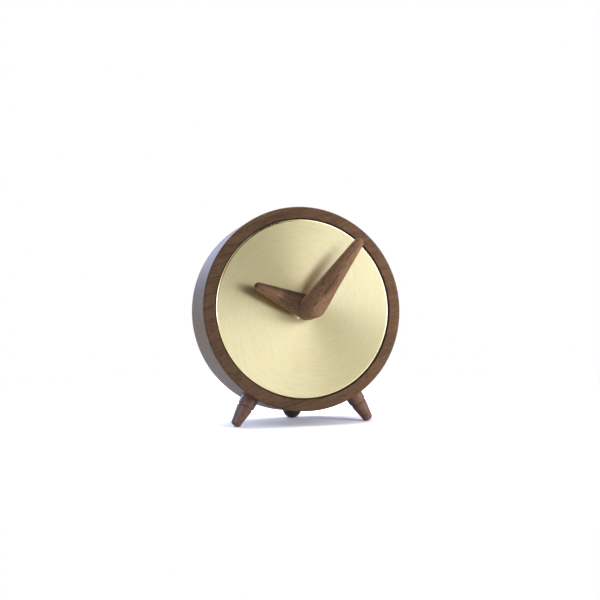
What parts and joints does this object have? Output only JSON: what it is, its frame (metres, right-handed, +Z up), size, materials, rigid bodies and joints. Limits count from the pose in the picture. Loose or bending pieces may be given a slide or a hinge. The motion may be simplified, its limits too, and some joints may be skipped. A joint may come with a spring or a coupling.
{
  "type": "desk clock",
  "caption": "Small leaning desk clock: round walnut case, bare brushed brass dial, carved walnut hands, splayed legs and a battery quartz movement behind.",
  "frame": {"origin": "on the table, under the middle of the clock's bounding box", "axes": "+Z up, front of the clock towards -Y, +X to the right as seen from the front; the case leans back 7.35 degrees"},
  "size_m": [0.1, 0.0577, 0.1063],
  "materials": {
    "walnut_case": "turned dark walnut, satin oil",
    "walnut_turned": "turned dark walnut, satin oil",
    "walnut_carved": "carved dark walnut, satin oil",
    "brushed_brass": "circular brushed",
    "brass": "turned",
    "steel": "zinc plated",
    "silicon_steel": "rolled sheet",
    "plated_can": "nickel plated",
    "plated_spring": "nickel plated spring strip",
    "copper_wire": "enamelled copper wire",
    "ferrite": "sintered magnet",
    "white_acetal": "moulded",
    "black_plastic": "fine moulded grain",
    "black_plastic_knob": "moulded, ribbed",
    "black_rubber": "moulded",
    "circuit_laminate": "phenolic laminate",
    "black_epoxy": "epoxy drop",
    "cell_sleeve": "printed film sleeve"
  },
  "bodies": {
    "clock": {"case": "walnut_case", "dial": "brushed_brass", "front_left_leg": "walnut_turned", "front_right_leg": "walnut_turned", "leg_studs": "steel", "rear_foot": "black_rubber", "dial_washer": "brass", "fixing_nut": "brass", "rubber_washer": "black_rubber", "movement_housing": "black_plastic", "movement_plate": "white_acetal", "movement_back_cover": "black_plastic", "cover_screws": "steel", "stator": "silicon_steel", "coil_core": "silicon_steel", "coil_bobbin": "white_acetal", "coil_winding": "copper_wire", "circuit_board": "circuit_laminate", "circuit_chip": "black_epoxy", "quartz_crystal": "plated_can", "positive_contact": "plated_spring", "negative_contact": "plated_spring"},
    "minute_arbor": {"minute_hand": "walnut_carved", "minute_hand_bush": "brass", "cannon_pinion": "brass"},
    "hour_pipe": {"hour_hand": "walnut_carved", "hour_hand_bush": "brass", "hour_wheel": "white_acetal"},
    "motion_gear": {"motion_wheel": "white_acetal"},
    "setting_arbor": {"setting_knob": "black_plastic_knob"},
    "motor_rotor": {"rotor": "white_acetal", "rotor_magnet": "ferrite"},
    "intermediate_arbor": {"intermediate_wheel": "white_acetal"},
    "seconds_arbor": {"seconds_wheel": "white_acetal"},
    "third_arbor": {"third_wheel": "white_acetal"},
    "centre_gear": {"centre_wheel": "white_acetal"},
    "battery_cell": {"battery": "cell_sleeve"}
  },
  "joints": [
    {"name": "minute_turn", "type": "hinge", "parent": "clock", "child": "minute_arbor", "pos_m": [0, 0.00019, 0.05563], "axis": [0, 0.9918, -0.1279], "continuous": true},
    {"name": "hour_turn", "type": "hinge", "parent": "clock", "child": "hour_pipe", "pos_m": [0, -0.0009, 0.05577], "axis": [0, 0.9918, -0.1279], "continuous": true},
    {"name": "motion_turn", "type": "hinge", "parent": "clock", "child": "motion_gear", "pos_m": [-0.0052, 0.00072, 0.05859], "axis": [0, 0.9918, -0.1279], "continuous": true},
    {"name": "knob_turn", "type": "hinge", "parent": "clock", "child": "setting_arbor", "pos_m": [-0.01039, 0.00096, 0.06158], "axis": [0, 0.9918, -0.1279], "continuous": true},
    {"name": "rotor_turn", "type": "hinge", "parent": "clock", "child": "motor_rotor", "pos_m": [0.01128, 0.00656, 0.05067], "axis": [0, 0.9918, -0.1279], "continuous": true},
    {"name": "intermediate_turn", "type": "hinge", "parent": "clock", "child": "intermediate_arbor", "pos_m": [0.00654, 0.00708, 0.05234], "axis": [0, 0.9918, -0.1279], "continuous": true},
    {"name": "seconds_turn", "type": "hinge", "parent": "clock", "child": "seconds_arbor", "pos_m": [0, 0.00604, 0.05488], "axis": [0, 0.9918, -0.1279], "continuous": true},
    {"name": "third_turn", "type": "hinge", "parent": "clock", "child": "third_arbor", "pos_m": [0.00331, 0.00559, 0.06072], "axis": [0, 0.9918, -0.1279], "continuous": true},
    {"name": "centre_turn", "type": "hinge", "parent": "clock", "child": "centre_gear", "pos_m": [0, 0.00307, 0.05526], "axis": [0, 0.9918, -0.1279], "continuous": true},
    {"name": "battery_slide", "type": "slide", "parent": "clock", "child": "battery_cell", "axis": [0, 0.9918, -0.1279], "range_m": [0, 0.045]}
  ],
  "couplings": [
    {"joint": "hour_turn", "follows": "minute_turn", "ratio": 0.083333},
    {"joint": "motion_turn", "follows": "minute_turn", "ratio": -0.33333},
    {"joint": "knob_turn", "follows": "minute_turn", "ratio": 1},
    {"joint": "intermediate_turn", "follows": "rotor_turn", "ratio": -0.16667},
    {"joint": "seconds_turn", "follows": "rotor_turn", "ratio": 0.033333},
    {"joint": "third_turn", "follows": "rotor_turn", "ratio": -0.0044444},
    {"joint": "centre_turn", "follows": "rotor_turn", "ratio": 0.00055556}
  ]
}
